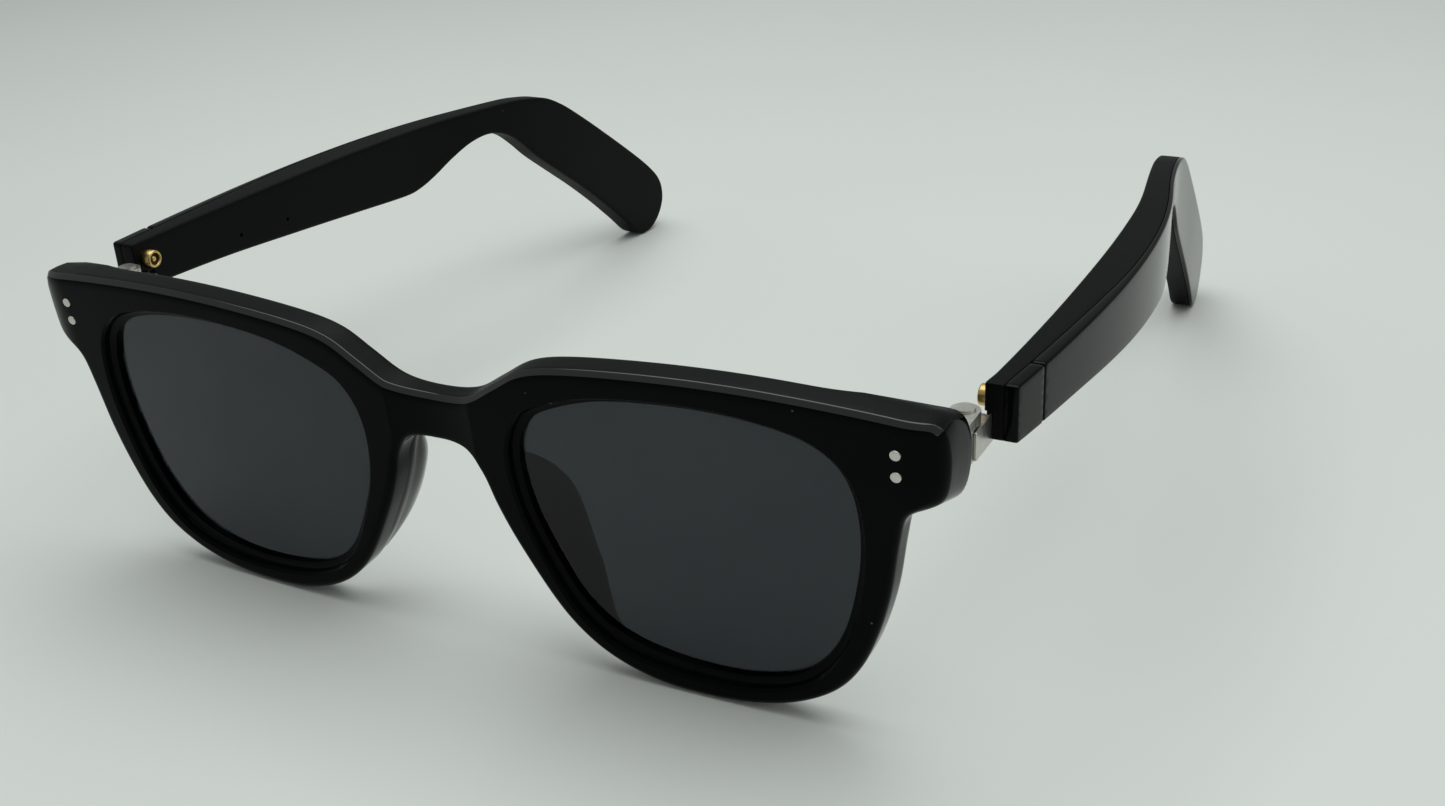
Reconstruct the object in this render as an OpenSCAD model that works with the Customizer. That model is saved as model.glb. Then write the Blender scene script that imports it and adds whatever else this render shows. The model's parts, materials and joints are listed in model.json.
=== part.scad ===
// Smart glasses: a two-lens front, and two folding temples that each hold
// their own battery, circuit board, speaker, microphones and charging contact.
// +X is the wearer's left, -Y is the way the lenses face, +Z is up.
// They stand open on a table at z = 0, on the rims' lower edges and the temple tips.

/* [Front] */
// Width over the two end pieces
front_w = 144; // [140:1:148]
// Height from the rims' lower edge to the brow
front_h = 48; // [46:0.5:50]
// Depth of the rims, front to back
rim_t = 4.7; // [4.4:0.1:5.2]
// Radius of the front's curve in plan
face_form_r = 1430; // [900:10:3000]
// Lean of the front, brow forwards, in degrees
front_lean = 4.1; // [3:0.1:5]

/* [Lenses] */
// Lens thickness
lens_t = 1.8; // [1.4:0.1:2.2]
// How far the lens lies behind the rim's face
lens_recess = 2.0; // [1.6:0.1:2.2]
// How far the lens goes into its groove
lens_bite = 0.7; // [0.4:0.1:0.9]
// Width of the chamfered step round each lens
step_w = 1.0; // [0.6:0.1:1.2]

/* [Temples] */
// Thickness of the temple's inner wall
shell_t = 1.2; // [1:0.1:1.3]
// Gap left along the joint line between shell and cover
joint_gap = 0.06; // [0.04:0.01:0.1]

/* [Hinges] */
// Radius of the hinge barrel
barrel_r = 1.95; // [1.8:0.05:1.95]
// Radius of the hinge pin
pin_r = 0.8; // [0.7:0.05:0.9]
// Radial clearance between the pin and the temple's knuckle
pin_gap = 0.05; // [0.02:0.01:0.08]
// Radius of the rivets that hold the hinge
rivet_r = 0.75; // [0.6:0.05:0.8]

/* [Hidden] */

$fn = 48;
gloss_black = "#0c0e0e";
satin_black = "#26292a";
metal = "#b4b4ae";
gold = "#c9a24a";

// The origin is under the middle of the whole object
centre_y = 83.25;
// Height of the middle of the front's own plane above the table
front_z = 27.39;
// The front's outlines are drawn for a front of this size
drawn_w = 144;
drawn_h = 48;
// Clearance left between pieces that lie against each other
fit = 0.03;
// Far past anything, for cutters and unbounded slabs
far = 40;

// ---- Smooth curves through a few points ----
function bend(a, b, c, d, t) =
    0.5 * (2 * b + (c - a) * t + (2 * a - 5 * b + 4 * c - d) * t * t + (3 * b - a - 3 * c + d) * t * t * t);
function loop_curve(p, n = 5) =
    let (m = len(p))
    [for (i = [0:m - 1]) for (k = [0:n - 1])
        bend(p[(i + m - 1) % m], p[i], p[(i + 1) % m], p[(i + 2) % m], k / n)];
function open_curve(p, n = 5) =
    let (m = len(p))
    concat(
        [for (i = [0:m - 2]) for (k = [0:n - 1])
            bend(p[max(i - 1, 0)], p[i], p[i + 1], p[min(i + 2, m - 1)], k / n)],
        [p[m - 1]]);
function turned(p) = [for (i = [len(p) - 1:-1:0]) p[i]];
function moved(p, dx) = [for (q = p) [q.x + dx, q.y]];
function grown(p, about, dx, dy, w, h) =
    [for (q = p)
        [about.x + (q.x - about.x) * (1 + 2 * dx / w), about.y + (q.y - about.y) * (1 + 2 * dy / h)]];

// ---- The front's outlines, seen from in front, on its +X half ----
brow_line = open_curve([[0, 11.7], [6, 12.4], [10.8, 15.2], [15.5, 18], [22, 19.4], [34, 20.4], [46, 20.7],
                        [58, 20.3], [68, 19.5]]);
end_line = open_curve([[71, 18.6], [71.8, 14], [71.2, 9.6], [69.2, 8], [66.8, 6.4], [65.7, 2], [64.4, -5.5],
                       [62.5, -12], [60, -17.6], [56.6, -21.8], [51.4, -25], [45, -26.9], [38, -27.5],
                       [31, -27.1], [24.8, -25.2], [20, -22.1], [15.9, -17.4], [11.2, -9.2], [8.6, -3.4],
                       [7.1, 1.2], [5.2, 4], [2.5, 4.7], [0, 4.7]]);
half_outline = concat(brow_line, end_line);
lens_c = [36.7, -3.6];
lens_w = 49.6;
lens_h = 41.4;
// The opening at the rim's face
opening = loop_curve([[18.6, 13.6], [26.5, 16], [38, 17], [48, 16.5], [55.6, 14.6], [60, 10.4], [61.5, 3],
                      [60.6, -6], [57.8, -15], [52.6, -21.4], [44.5, -24.3], [35, -24.6], [26, -22.8],
                      [20, -18.6], [15.8, -11.4], [12.6, -2.6], [12, 5.4], [14.2, 10.8]]);

// The bridge's face is hollowed this deep in the middle, between two edges this far out
bridge_set = 0.8;
bridge_half = 7.2;
// The end pieces round off outside here, and grow deeper from here out to the full depth
round_from = 66;
deep_from = 54;
deep_over = 18;
deep_extra = 5.4;
// Their underside, above which they are that deep
deep_above = 6.6;

// How far back the front's face lies at x, and how deep the front is there
function sag(x) = face_form_r - sqrt(face_form_r * face_form_r - x * x);
function face_y(x) =
    sag(x)
    + (x < bridge_half ? bridge_set * (1 - pow(x / bridge_half, 2)) : 0)
    + (x > round_from ? 0.05 * pow(x - round_from, 2) : 0);
function end_depth(x) =
    rim_t + (x > deep_from ? deep_extra * pow(min((x - deep_from) / deep_over, 1), 2) : 0);
plan_x = [for (i = [0:30]) i * drawn_w / 60];
// Depth of the sharp-edged part of each opening, ahead of the step
step_at = lens_recess - 0.5;

// The nose pad's foot on the rim, seen from in front, and the two edges of its rounded back
pad_foot = [[7.6, 2], [9.8, -4], [12.6, -10], [16, -16], [20, -20.6], [23, -21], [19, -15], [15.4, -9],
            [12.8, -3], [10.8, 2]];
pad_nose_side = [[9.8, 7.2, 0.4], [11, 10.2, -4], [13.1, 10.6, -10], [16.2, 9.6, -15.6], [19.4, 7, -20]];
pad_lens_side = [[12, 7.2, 0.4], [14.6, 9.8, -4], [15.8, 10, -10], [17.6, 9, -15.6], [20, 6.6, -20]];
pad_round = 1.4;

// ---- The temple's outlines, on the +X side ----
// Inner and outer faces in plan
temple_in = open_curve([[70.3, 17], [70.8, 30], [71.05, 48], [70.8, 70], [69.9, 88], [68.8, 98], [67.1, 108],
                        [65.2, 120], [63.5, 135], [62.2, 150], [60.4, 170]]);
temple_out = open_curve([[74.5, 17], [75.8, 30], [77, 48], [77.3, 64], [76.5, 80], [74.6, 94], [71.6, 108],
                         [69.6, 120], [68, 135], [66.7, 150], [64.9, 170]]);
// The joint line between shell and cover, which nears the outer face towards the back
temple_joint = open_curve([[72.7, 17], [74, 30], [75.5, 48], [76.4, 64], [75.8, 80], [73.9, 94],
                           [70.9, 108], [68.9, 120], [67.3, 135], [66, 150], [64.2, 170]]);
front_y = 18.35;
cap_back_y = 26.2;
temple_back_y = 170;
// The temple seen from the side: over the top, round the tip, and back along the underside
temple_top = [[front_y, 45], [43, 44.5], [70, 44], [92, 43.5], [106, 43], [117, 42.3], [122.5, 41.6],
              [128.5, 40.2], [133.5, 37.6], [137.5, 34.9], [144.5, 29.8], [155.5, 21.4], [162.8, 15.4]];
temple_tip = [[166.6, 11.2], [167.6, 7.2], [166.4, 3.8], [163.6, 1.1], [160, 0], [156.6, 1.2]];
temple_under = [[152.4, 5.2], [145.6, 11.4], [138.2, 17.6], [131, 23.2], [124.4, 28.4], [120.3, 32.2],
                [116.2, 35.4], [111, 37.2], [105.4, 36.8], [99.6, 34.9], [95, 33], [90.6, 31.7],
                [86, 31.4], [73, 32.5], [56.5, 34.1], [38, 35.9], [front_y, 37.3]];
temple_side = open_curve(concat(temple_top, temple_tip, temple_under), 4);

// ---- The hinge ----
hinge_x = 69;
hinge_y = 15.4;
barrel_low = 36.8;
barrel_high = 42.4;
knuckle_low = 38.3;
knuckle_high = 40.9;
// The notch in the temple's front, high at its mouth and lower behind
notch_x = 71.4;
notch_mouth_top = 41.2;
notch_mouth_back = 19.3;
notch_top = 39.7;
notch_back = 21.5;
leaf_back = 21;
leaf_play = 0.1;
rivet_x = 66;
rivet_v = [12.36, 15.29];
rivet_proud = 0.05;
// The plate behind the rivets: its ends in x, its front face, its thickness and its height
leaf_base_x = [64.6, 70.9];
leaf_base_y = 7.2;
leaf_base_t = 1.2;
leaf_base_v = [10, 17];
boss_back = 13.1;
leaf_in = 68.6;
leaf_front = 17.55;
pin_head_r = 1.3;
pin_head_t = 0.35;

// ---- The charging contact ----
contact_y = 21.2;
contact_z = 41.9;
contact_r = 1.4;
contact_flange_r = 1.6;
contact_face_x = 70.4;
contact_proud = 1.5;
contact_deep = 1.5;
contact_bore_r = 0.95;
contact_core_r = 0.5;
contact_edge = 0.2;

// ---- Inside the temple ----
bay_front = 29.5;
bay_back = 96;
bay_outline = [[bay_front, 43.6], [50, 43.1], [70, 42.8], [bay_back, 42.6], [bay_back, 35.4], [92, 33.6],
               [86, 32.8], [73, 33.9], [56.5, 35.5], [38, 37.3], [bay_front, 38]];
mic_y = [42.5, 54.1];
mic_z = [38.4, 37.4];
mic_hole_r = 0.35;
port_x = 72.2;
port_y = 87;
port_l = 7;
port_w = 1.6;
port_z = [28, 34];
mesh_z = [32, 32.4];
// Circuit board, with a chip and a radio module on its outer side
board_x = [72.6, 73.2];
board_y = [30.5, 54.6];
board_z = [38.6, 42.8];
chip = [[73.2, 73.7], [33, 38], [39.2, 42.4]];
radio = [[73.2, 74], [41, 47], [39, 42.6]];
mic_x = [72.3, 73.2];
mic_half = 1.4;
mic_up = [-0.3, 1.1];
mic_room = [[72, 73.25], 1.6, [36, 39.6]];
cell = [[72.6, 75.3], [56.2, 79.6], [36.1, 42.2]];
speaker_at = [72.7, 87.6, 38.2];
speaker_turn = 6;
speaker_case = [[-1.25, 1.25], [-6, 6], [-3.4, 3.6]];
speaker_cone = [[0.6, 2], [-4.4, 4.4], [-2.2, 2.4]];
touch_y = [32, 54];
touch_z = [39.4, 42.8];
sensor_under = 0.1;
sensor_t = 0.2;
flex_y = [50.5, 84];
flex_z = [39.7, 42];
flex_off = 0.05;
flex_t = 0.15;

// ---- Placing ----
module on_left() translate([0, -centre_y, 0]) children();
module on_right() mirror([1, 0, 0]) on_left() children();
module leaning() translate([0, 0, front_z]) rotate([front_lean, 0, 0]) children();
// Extrudes an outline drawn in x and z from y0 back to y1
module facing(y0, y1) translate([0, y1, 0]) rotate([90, 0, 0]) linear_extrude(y1 - y0) children();
// Extrudes an outline drawn in y and z from x0 out to x1
module sideways(x0, x1)
    translate([x0, 0, 0]) rotate([90, 0, 90]) linear_extrude(x1 - x0) children();
module block(x, y, z) translate([x[0], y[0], z[0]]) cube([x[1] - x[0], y[1] - y[0], z[1] - z[0]]);
// A circle through the front or a temple, along y or x
module along_y(x, z, r, y0, y1) translate([x, y0, z]) rotate([-90, 0, 0]) cylinder(r = r, h = y1 - y0);
module along_x(y, z, r, x0, x1) translate([x0, y, z]) rotate([0, 90, 0]) cylinder(r = r, h = x1 - x0);

// ---- Front ----
// A sheet that follows the front's curve in plan, from depth a to depth b on the +X half
module face_sheet(a, b)
    translate([0, 0, -far]) linear_extrude(2 * far)
        polygon(concat([for (x = plan_x) [x, face_y(x) + a]],
                       turned([for (x = plan_x) [x, face_y(x) + b]])));
module end_sheet()
    translate([0, 0, deep_above]) linear_extrude(far)
        polygon(concat([for (x = plan_x) [x, face_y(x)]],
                       turned([for (x = plan_x) [x, sag(x) + end_depth(x)]])));
module opening_shape(dx) polygon(grown(opening, lens_c, dx, dx, lens_w, lens_h));
module half_front() difference() {
    intersection() {
        facing(-far, far) scale([front_w / drawn_w, front_h / drawn_h]) polygon(half_outline);
        union() {
            face_sheet(0, rim_t);
            end_sheet();
        }
    }
    facing(-far, far) opening_shape(-step_w);
    intersection() {
        facing(-far, far) opening_shape(0);
        face_sheet(-far, step_at);
    }
    intersection() {
        facing(-far, far) opening_shape(lens_bite - step_w);
        face_sheet(lens_recess - fit, lens_recess + lens_t + fit);
    }
    for (v = rivet_v) along_y(rivet_x, v, rivet_r, -far, far);
    leaf_base(fit);
}
module front_frame() color(gloss_black) {
    for (s = [0, 1]) mirror([s, 0, 0]) difference() {
        leaning() half_front();
        leaf_boss(fit);
    }
}
module lens() color("#30363a", 0.5)
    leaning() intersection() {
        facing(-far, far) opening_shape(lens_bite - step_w - fit);
        face_sheet(lens_recess, lens_recess + lens_t);
    }
// A crescent that stands back from the rim beside the nose
module nose_pad() color(gloss_black)
    leaning() difference() {
        hull() {
            facing(rim_t - 0.3, rim_t + 0.4) polygon(pad_foot);
            for (p = concat(pad_nose_side, pad_lens_side)) translate(p) sphere(r = pad_round, $fn = 16);
        }
        face_sheet(-far, rim_t + fit);
    }
module end_piece_rivets() color(metal)
    for (s = [0, 1]) mirror([s, 0, 0]) leaning()
        for (v = rivet_v) intersection() {
            along_y(rivet_x, v, rivet_r - fit, -far, leaf_base_y + leaf_base_t);
            face_sheet(-rivet_proud, far);
        }

// ---- Hinge ----
// A block grown by c in x and z, and c ahead; with c over 0 it cuts open at the back
module pocket(x, y, z, c)
    block([x[0] - c, x[1] + c], [y[0] - c, y[1] + (c > 0 ? far : 0)], [z[0] - c, z[1] + c]);
// The plate that the rivets hold, let into the end piece's back
module leaf_base(c) pocket(leaf_base_x, [leaf_base_y, leaf_base_y + leaf_base_t], leaf_base_v, c);
// The arm from the plate to the barrel
module leaf_boss(c)
    pocket([hinge_x - barrel_r, hinge_x + barrel_r], [leaf_base_y, boss_back], [barrel_low, barrel_high], c);
module barrel(z0, z1) translate([hinge_x, hinge_y, z0]) cylinder(r = barrel_r, h = z1 - z0);
module hinge_front_leaf() color(metal)
    difference() {
        union() {
            leaning() leaf_base(0);
            leaf_boss(0);
            for (z = [[barrel_low, knuckle_low - fit], [knuckle_high + fit, barrel_high]]) {
                barrel(z[0], z[1]);
                block([hinge_x - barrel_r, hinge_x + barrel_r], [boss_back - 0.1, hinge_y], z);
            }
        }
        pin_hole(pin_r + fit / 2);
        leaning() for (v = rivet_v) along_y(rivet_x, v, rivet_r, -far, far);
    }
module pin_hole(r) translate([hinge_x, hinge_y, 0]) cylinder(r = r, h = 2 * far);
module hinge_pin() color(metal)
    translate([hinge_x, hinge_y, 0])
        rotate_extrude() polygon([[0, barrel_low + 0.2], [pin_r, barrel_low + 0.2], [pin_r, barrel_high],
                                  [pin_head_r, barrel_high], [pin_head_r, barrel_high + pin_head_t],
                                  [0, barrel_high + pin_head_t]]);
module hinge_temple_leaf() color(metal)
    difference() {
        union() {
            barrel(knuckle_low, knuckle_high);
            block([hinge_x, hinge_x + barrel_r], [hinge_y, notch_mouth_back - leaf_play],
                  [knuckle_low, knuckle_high]);
            block([leaf_in, notch_x - 2 * leaf_play], [leaf_front, leaf_back],
                  [barrel_low + leaf_play, notch_top - leaf_play]);
        }
        pin_hole(pin_r + pin_gap);
    }

// ---- Temple ----
// What lies between two curves in plan
module temple_band(a, b) translate([0, 0, -far]) linear_extrude(3 * far) polygon(concat(a, turned(b)));
// What lies behind y0 and ahead of y1
module between(y0, y1) block([0, 3 * far], [y0, y1], [-far, 2 * far]);
module temple_form() sideways(far, 3 * far) polygon(temple_side);
module bay_form() sideways(far, 3 * far) polygon(bay_outline);
module notch() {
    block([far, notch_x], [0, notch_mouth_back], [0, notch_mouth_top]);
    block([far, notch_x], [0, notch_back], [0, notch_top]);
}
module temple_shell() color(satin_black)
    difference() {
        intersection() {
            temple_form();
            temple_band(temple_in, moved(temple_joint, -joint_gap));
        }
        intersection() {
            bay_form();
            temple_band(moved(temple_in, shell_t), moved(temple_out, 1));
        }
        notch();
        along_x(contact_y, contact_z, contact_flange_r + fit, far, contact_face_x + contact_deep);
        for (i = [0, 1]) along_x(mic_y[i], mic_z[i], mic_hole_r, far, board_x[0]);
        port(0, port_z);
    }
// The slot under the speaker, shrunk by c all round
module port(c, z)
    block([port_x + c, port_x + port_w - c], [port_y - port_l / 2 + c, port_y + port_l / 2 - c], z);
module outer_skin(y0, y1) intersection() {
    temple_form();
    temple_band(temple_joint, temple_out);
    between(y0, y1);
}
module temple_cover() color(gloss_black) outer_skin(cap_back_y + joint_gap, temple_back_y);
module hinge_cap() color(gloss_black) outer_skin(0, cap_back_y);

// ---- Charging contact: a ring, an insulator and a centre pin on one axis ----
contact_in = contact_face_x + contact_deep - fit;
contact_out = contact_face_x - contact_proud;
contact_flange_l = contact_deep - fit;
module contact_part(profile) translate([contact_in, contact_y, contact_z]) rotate([0, -90, 0])
    rotate_extrude() polygon(profile);
contact_l = contact_in - contact_out;
insulator_l = contact_l - 0.45;
pin_l = contact_l - 0.15;
module charge_ring() color(gold)
    contact_part([[contact_bore_r, 0], [contact_flange_r, 0], [contact_flange_r, contact_flange_l],
                  [contact_r, contact_flange_l], [contact_r, contact_l - contact_edge],
                  [contact_r - contact_edge, contact_l], [contact_bore_r, contact_l]]);
module charge_insulator() color("#1a1a1a")
    contact_part([[contact_core_r, 0], [contact_bore_r - fit, 0], [contact_bore_r - fit, insulator_l],
                  [contact_core_r, insulator_l]]);
module charge_pin() color(gold)
    contact_part([[0, 0], [contact_core_r - fit, 0], [contact_core_r - fit, pin_l - contact_edge],
                  [contact_core_r - contact_edge, pin_l], [0, pin_l]]);

// ---- Electronics, in the bay ----
module main_board() color("#1f6b45")
    difference() {
        union() {
            block(board_x, board_y, board_z);
            block(chip[0], chip[1], chip[2]);
            block(radio[0], radio[1], radio[2]);
        }
        for (y = mic_y) block(mic_room[0], [y - mic_room[1], y + mic_room[1]], mic_room[2]);
    }
module battery() color("#8a8f94") block(cell[0], cell[1], cell[2]);
module speaker() color("#3a3a3a")
    translate(speaker_at) rotate([0, 0, speaker_turn]) difference() {
        block(speaker_case[0], speaker_case[1], speaker_case[2]);
        block(speaker_cone[0], speaker_cone[1], speaker_cone[2]);
    }
module speaker_mesh() color("#555555") port(fit, mesh_z);
module microphones() color("#c0c0c0")
    for (i = [0, 1])
        block(mic_x, [mic_y[i] - mic_half, mic_y[i] + mic_half],
              [mic_z[i] + mic_up[0], mic_z[i] + mic_up[1]]);
module touch_sensor() color("#b5651d")
    intersection() {
        temple_band(moved(temple_joint, -sensor_under - sensor_t), moved(temple_joint, -sensor_under));
        block([far, 3 * far], touch_y, touch_z);
    }
module flex_cable() color("#b5651d")
    intersection() {
        temple_band(moved(temple_in, shell_t + flex_off), moved(temple_in, shell_t + flex_off + flex_t));
        block([far, 3 * far], flex_y, flex_z);
    }

on_left() front_frame();
on_left() lens();  // lens_left
on_right() lens();  // lens_right
on_left() nose_pad();  // nose_pad_left
on_right() nose_pad();  // nose_pad_right
on_left() end_piece_rivets();
on_left() hinge_front_leaf();  // hinge_front_leaf_left
on_right() hinge_front_leaf();  // hinge_front_leaf_right
on_left() hinge_pin();  // hinge_pin_left
on_right() hinge_pin();  // hinge_pin_right
on_left() hinge_temple_leaf();  // hinge_temple_leaf_left
on_right() hinge_temple_leaf();  // hinge_temple_leaf_right
on_left() temple_shell();  // temple_shell_left
on_right() temple_shell();  // temple_shell_right
on_left() temple_cover();  // temple_cover_left
on_right() temple_cover();  // temple_cover_right
on_left() hinge_cap();  // hinge_cap_left
on_right() hinge_cap();  // hinge_cap_right
on_left() charge_ring();  // charge_ring_left
on_right() charge_ring();  // charge_ring_right
on_left() charge_insulator();  // charge_insulator_left
on_right() charge_insulator();  // charge_insulator_right
on_left() charge_pin();  // charge_pin_left
on_right() charge_pin();  // charge_pin_right
on_left() main_board();  // main_board_left
on_right() main_board();  // main_board_right
on_left() battery();  // battery_left
on_right() battery();  // battery_right
on_left() speaker();  // speaker_left
on_right() speaker();  // speaker_right
on_left() speaker_mesh();  // speaker_mesh_left
on_right() speaker_mesh();  // speaker_mesh_right
on_left() microphones();  // microphones_left
on_right() microphones();  // microphones_right
on_left() touch_sensor();  // touch_sensor_left
on_right() touch_sensor();  // touch_sensor_right
on_left() flex_cable();  // flex_cable_left
on_right() flex_cable();  // flex_cable_right
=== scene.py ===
import json
import math

import bpy
import numpy as np
from mathutils import Matrix, Vector
from mathutils.geometry import delaunay_2d_cdt


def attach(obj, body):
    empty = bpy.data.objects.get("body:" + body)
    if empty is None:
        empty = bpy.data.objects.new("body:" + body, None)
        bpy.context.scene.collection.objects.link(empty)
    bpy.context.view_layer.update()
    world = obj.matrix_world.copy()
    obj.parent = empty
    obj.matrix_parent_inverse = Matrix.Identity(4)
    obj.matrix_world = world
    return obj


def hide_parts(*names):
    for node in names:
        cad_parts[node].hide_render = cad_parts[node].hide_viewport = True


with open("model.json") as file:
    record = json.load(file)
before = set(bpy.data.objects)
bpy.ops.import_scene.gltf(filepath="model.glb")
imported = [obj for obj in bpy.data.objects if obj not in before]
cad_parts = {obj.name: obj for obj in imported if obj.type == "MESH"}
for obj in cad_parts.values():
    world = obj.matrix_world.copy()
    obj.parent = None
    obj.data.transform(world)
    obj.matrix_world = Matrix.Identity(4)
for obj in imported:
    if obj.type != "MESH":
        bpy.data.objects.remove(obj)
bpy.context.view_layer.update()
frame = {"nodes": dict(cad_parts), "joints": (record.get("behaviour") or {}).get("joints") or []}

# ---------------------------------------------------------------- the frame's own places
# Shapes are drawn in millimetres: x to the wearer's left, y back from the front's face, z up.
# The hinge pin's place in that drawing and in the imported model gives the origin.
MM = 0.001
PIN_X, PIN_Y = 69.0, 15.4
JOINTS = {j["name"]: j for j in frame["joints"]}
ORIGIN_Y = PIN_Y - JOINTS["fold_left"]["pos_m"][1] / MM
SIDES = {"left": 1, "right": -1}


def to_frame(points):
    """Drawing millimetres to the row frame's metres."""
    return (np.asarray(points, float) - [0, ORIGIN_Y, 0]) * MM


# ---------------------------------------------------------------- curves
def smooth_curve(points, closed=False, step=0.5, soften=0.0):
    """Points a step apart on a smooth curve through the given ones, softened over that many millimetres."""
    p = np.asarray(points, float)
    n = len(p)
    t = np.linspace(0, 1, 24, endpoint=False)[:, None]
    out = []
    for i in range(n if closed else n - 1):
        if closed:
            a, b, c, d = p[i - 1], p[i], p[(i + 1) % n], p[(i + 2) % n]
        else:
            a, b, c, d = p[max(i - 1, 0)], p[i], p[i + 1], p[min(i + 2, n - 1)]
        square, cube = 2 * a - 5 * b + 4 * c - d, 3 * b - a - 3 * c + d
        out.append(0.5 * (2 * b + (c - a) * t + square * t**2 + cube * t**3))
    out = np.vstack(out + ([] if closed else [p[-1:]]))
    return even(out, closed, step, soften)


def even(points, closed, step, soften=0.0):
    """The same line with points a step apart."""
    line = np.vstack([points, points[:1]]) if closed else points
    run = np.concatenate([[0], np.cumsum(np.linalg.norm(np.diff(line, axis=0), axis=1))])
    keep = np.concatenate([[True], np.diff(run) > 1e-9])
    line, run = line[keep], run[keep]
    count = max(int(round(run[-1] / step)), 4)
    at = np.linspace(0, run[-1], count, endpoint=False) if closed else np.linspace(0, run[-1], count + 1)
    made = np.stack([np.interp(at, run, line[:, k]) for k in range(line.shape[1])], 1)
    for _ in range(int(round(4 * (soften / step) ** 2))):
        if closed:
            made = made + 0.25 * (np.roll(made, 1, 0) + np.roll(made, -1, 0) - 2 * made)
        else:
            made[1:-1] = made[1:-1] + 0.25 * (made[:-2] + made[2:] - 2 * made[1:-1])
    return made


def counter_clockwise(loop):
    x, y = loop[:, 0], loop[:, 1]
    area = np.sum(x * np.roll(y, -1) - np.roll(x, -1) * y)
    return loop if area > 0 else loop[::-1].copy()


def inward_normals(loop):
    t = np.roll(loop, -1, 0) - np.roll(loop, 1, 0)
    t /= np.linalg.norm(t, axis=1)[:, None] + 1e-12
    return np.stack([-t[:, 1], t[:, 0]], 1)


def pushed(loop, distance, stride=0.08):
    """A counter-clockwise loop moved inwards by distance (one number or one per point), outwards if negative."""
    distance = np.broadcast_to(np.asarray(distance, float), (len(loop),))
    steps = max(int(math.ceil(np.abs(distance).max() / stride)), 1)
    p = loop.copy()
    for _ in range(steps):
        p = p + inward_normals(p) * (distance / steps)[:, None]
        pull = 0.5 * (np.roll(p, 1, 0) + np.roll(p, -1, 0)) - p
        n = inward_normals(p)
        p = p + 0.25 * (pull - n * np.sum(pull * n, 1)[:, None])
    return p


def ease(t):
    t = np.clip(t, 0, 1)
    return t * t * (3 - 2 * t)


# Edge profiles run from the side wall to the face: how far in from the wall, and how far below the face
def round_edge(r, count=6):
    a = np.linspace(0, math.pi / 2, count)
    return np.stack([r * (1 - np.cos(a)), r * (1 - np.sin(a))], 1)


def chamfer_edge(flat, roll, count=8):
    """A flat facet next to the wall, then a soft roll into the face."""
    facet = np.array([[0, flat + 0.12], [0.03, flat + 0.04], [0.1, flat - 0.04]])
    a = np.linspace(0, 1, count - len(facet))
    start = np.array([0.1 + flat * 0.75, flat * 0.25])
    curve = start + np.stack([roll * a, -start[1] * (1 - (1 - a) ** 2)], 1)
    return np.vstack([facet, curve])


# ---------------------------------------------------------------- meshes
# Edges sharper than this many degrees are not smoothed
SHARP_DEG = 32


class Shape:
    """A mesh in the making, in drawing millimetres."""

    def __init__(self):
        self.points, self.faces, self.marks, self.count = [], [], [], 0

    def add(self, points):
        start = self.count
        self.points.append(np.asarray(points, float))
        self.count += len(points)
        return np.arange(start, self.count)

    def strip(self, a, b, mark=0):
        """Quads between two rows of the same length, facing out when b is to the left of a's travel."""
        n = len(a)
        for i in range(n):
            j = (i + 1) % n
            self.faces.append((int(a[i]), int(a[j]), int(b[j]), int(b[i])))
            self.marks.append(int(mark[i]) if isinstance(mark, np.ndarray) else mark)

    def fan(self, row, centre):
        middle = int(self.add([centre])[0])
        n = len(row)
        for i in range(n):
            self.faces.append((int(row[i]), int(row[(i + 1) % n]), middle))
            self.marks.append(0)

    def sheet(self, rim, rim_flat, holes, holes_flat, lift, spacing, flip, creases=()):
        """Fills the flat region between a rim and its holes. lift gives 3D places for flat points."""
        ids, flat, faces = fill(rim_flat, holes_flat, spacing, creases)
        known = np.concatenate([rim] + list(holes))
        place = np.empty(len(flat), int)
        place[:ids] = known
        if len(flat) > ids:
            place[ids:] = self.add(lift(flat[ids:]))
        for f in faces:
            f = tuple(int(place[k]) for k in (f[::-1] if flip else f))
            self.faces.append(f)
            self.marks.append(0)

    def build(self, name, materials, mirror=False, sharp=SHARP_DEG):
        p = np.vstack(self.points)
        faces = self.faces
        if mirror:
            p = p * [-1, 1, 1]
            faces = [f[::-1] for f in faces]
        mesh = bpy.data.meshes.new(name)
        mesh.from_pydata(to_frame(p).tolist(), [], faces)
        for m in materials:
            mesh.materials.append(m)
        mesh.polygons.foreach_set("material_index", self.marks)
        mesh.polygons.foreach_set("use_smooth", [True] * len(faces))
        mesh.validate()
        mesh.update()
        o = bpy.data.objects.new(name, mesh)
        bpy.context.scene.collection.objects.link(o)
        finish_edges(o, sharp)
        return o


def finish_edges(o, sharp):
    o.data.polygons.foreach_set("use_smooth", [True] * len(o.data.polygons))
    o.data.set_sharp_from_angle(angle=math.radians(sharp))
    w = o.modifiers.new("weighted", "WEIGHTED_NORMAL")
    w.keep_sharp = True


def inside(points, loops):
    """For each point, whether an odd number of the loops hold it."""
    odd = np.zeros(len(points), bool)
    for loop in loops:
        x1, y1 = loop[:, 0], loop[:, 1]
        x2, y2 = np.roll(x1, -1), np.roll(y1, -1)
        for start in range(0, len(points), 4000):
            q = points[start : start + 4000]
            px, py = q[:, :1], q[:, 1:]
            over = (y1 > py) != (y2 > py)
            cross = x1 + (py - y1) * (x2 - x1) / np.where(y2 == y1, 1e-12, y2 - y1)
            odd[start : start + 4000] ^= (np.sum(over & (px < cross), 1) % 2).astype(bool)
    return odd


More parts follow.
